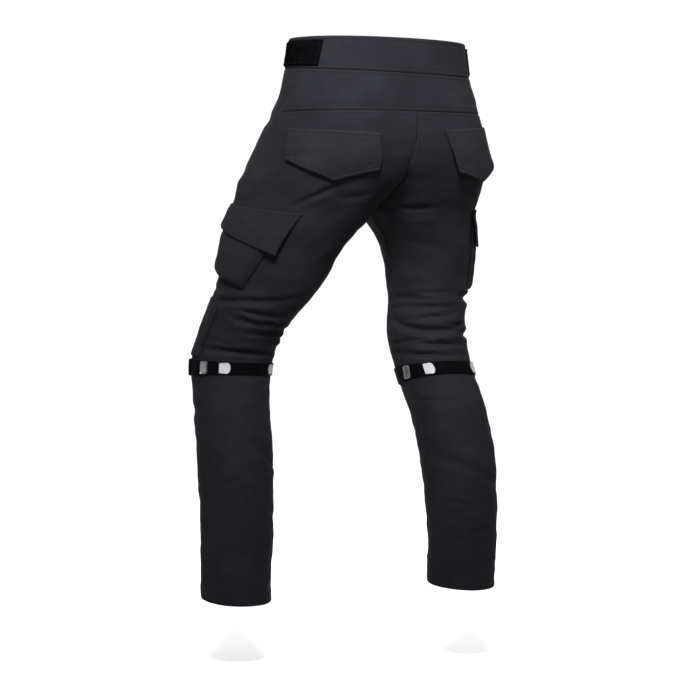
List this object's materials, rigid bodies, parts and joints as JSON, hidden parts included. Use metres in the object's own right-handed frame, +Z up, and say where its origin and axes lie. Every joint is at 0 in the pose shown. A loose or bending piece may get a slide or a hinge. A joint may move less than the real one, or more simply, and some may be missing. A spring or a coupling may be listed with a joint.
{
  "type": "motorcycle trousers",
  "caption": "Matt black motorcycle trousers in their worn form, left knee bent, with flapped seat pockets, bellows thigh pockets and knee straps with reflective tabs",
  "frame": {"origin": "centre of the waist opening's upper edge, where the wearer's waist holds the garment up", "axes": "+Z up, -Y the way the wearer faces, +X to the wearer's left"},
  "size_m": [0.4708, 0.3845, 0.9427],
  "materials": {
    "softshell": "matt softshell",
    "flap_cloth": "matt softshell",
    "black_webbing": "black webbing and hook-and-loop tape",
    "reflective_tape": "light grey reflective tape",
    "satin_metal": "satin"
  },
  "bodies": {
    "root": {"back_flap_left": "flap_cloth", "back_flap_right": "flap_cloth", "back_left": "softshell", "back_right": "softshell", "cargo_flap_left": "flap_cloth", "cargo_flap_right": "flap_cloth", "cargo_pocket_left": "softshell", "cargo_pocket_right": "softshell", "fly_placket": "softshell", "front_left": "softshell", "front_right": "softshell", "knee_panel_left": "softshell", "knee_panel_right": "softshell", "knee_strap_left": "black_webbing", "knee_strap_right": "black_webbing", "lower_back_left": "softshell", "lower_back_right": "softshell", "lower_front_left": "softshell", "lower_front_right": "softshell", "reflector_inner_left": "reflective_tape", "reflector_inner_right": "reflective_tape", "reflector_outer_left": "reflective_tape", "reflector_outer_right": "reflective_tape", "slider_left": "satin_metal", "slider_right": "satin_metal", "waist_button": "satin_metal", "waist_tab_left": "black_webbing", "waist_tab_right": "black_webbing", "waistband": "softshell", "yoke_back": "softshell"}
  },
  "joints": []
}
